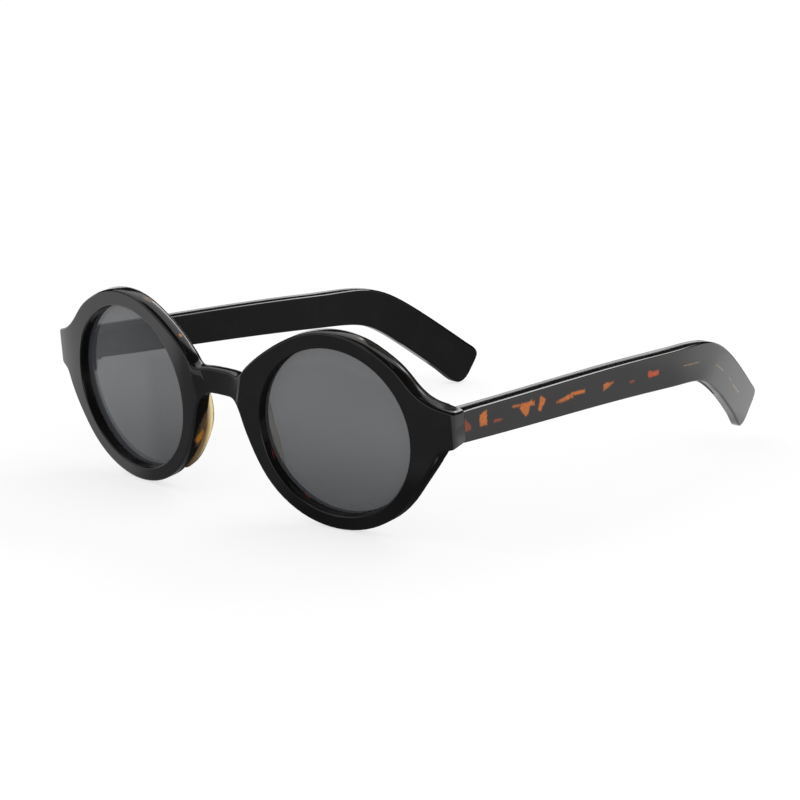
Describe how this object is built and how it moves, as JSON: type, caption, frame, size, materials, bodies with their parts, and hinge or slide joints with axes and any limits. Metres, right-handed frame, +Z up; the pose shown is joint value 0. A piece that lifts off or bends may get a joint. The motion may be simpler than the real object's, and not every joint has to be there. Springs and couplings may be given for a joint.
{
  "type": "sunglasses",
  "caption": "Round sunglasses with a thick laminated black and tortoise frame, smoke lenses, glued nose pads and folding temples that bend down behind the ears.",
  "frame": {"origin": "centre of the bounding box's bottom, on the surface that the glasses stand on", "axes": "+X to the wearer's left, -Y out of the front of the lenses, +Y along the open temples to their tips, +Z up"},
  "size_m": [0.1286, 0.1616, 0.049],
  "materials": {
    "face_acetate": "polished",
    "tortoise_acetate": "polished",
    "amber_acetate": "polished",
    "smoke_lens": "polished",
    "hinge_metal": "satin",
    "screw_steel": "polished",
    "core_wire": "satin"
  },
  "bodies": {
    "front": {"front_face_layer": "face_acetate", "front_back_layer": "tortoise_acetate", "lens_left": "smoke_lens", "lens_right": "smoke_lens", "nose_pad_left": "amber_acetate", "nose_pad_right": "amber_acetate", "front_hinge_left": "hinge_metal", "front_hinge_right": "hinge_metal", "hinge_screw_left": "screw_steel", "hinge_screw_right": "screw_steel"},
    "temple_left": {"temple_outer_left": "tortoise_acetate", "temple_inner_left": "face_acetate", "temple_core_left": "core_wire", "temple_hinge_left": "hinge_metal"},
    "temple_right": {"temple_outer_right": "tortoise_acetate", "temple_inner_right": "face_acetate", "temple_core_right": "core_wire", "temple_hinge_right": "hinge_metal"}
  },
  "joints": [
    {"name": "temple_left_fold", "type": "hinge", "parent": "front", "child": "temple_left", "pos_m": [0.057, -0.06308, 0.02945], "axis": [0, -0.1444, 0.9895], "range_deg": [0, 90]},
    {"name": "temple_right_fold", "type": "hinge", "parent": "front", "child": "temple_right", "pos_m": [-0.057, -0.06308, 0.02945], "axis": [0, -0.1444, 0.9895], "range_deg": [-82, 0]}
  ]
}
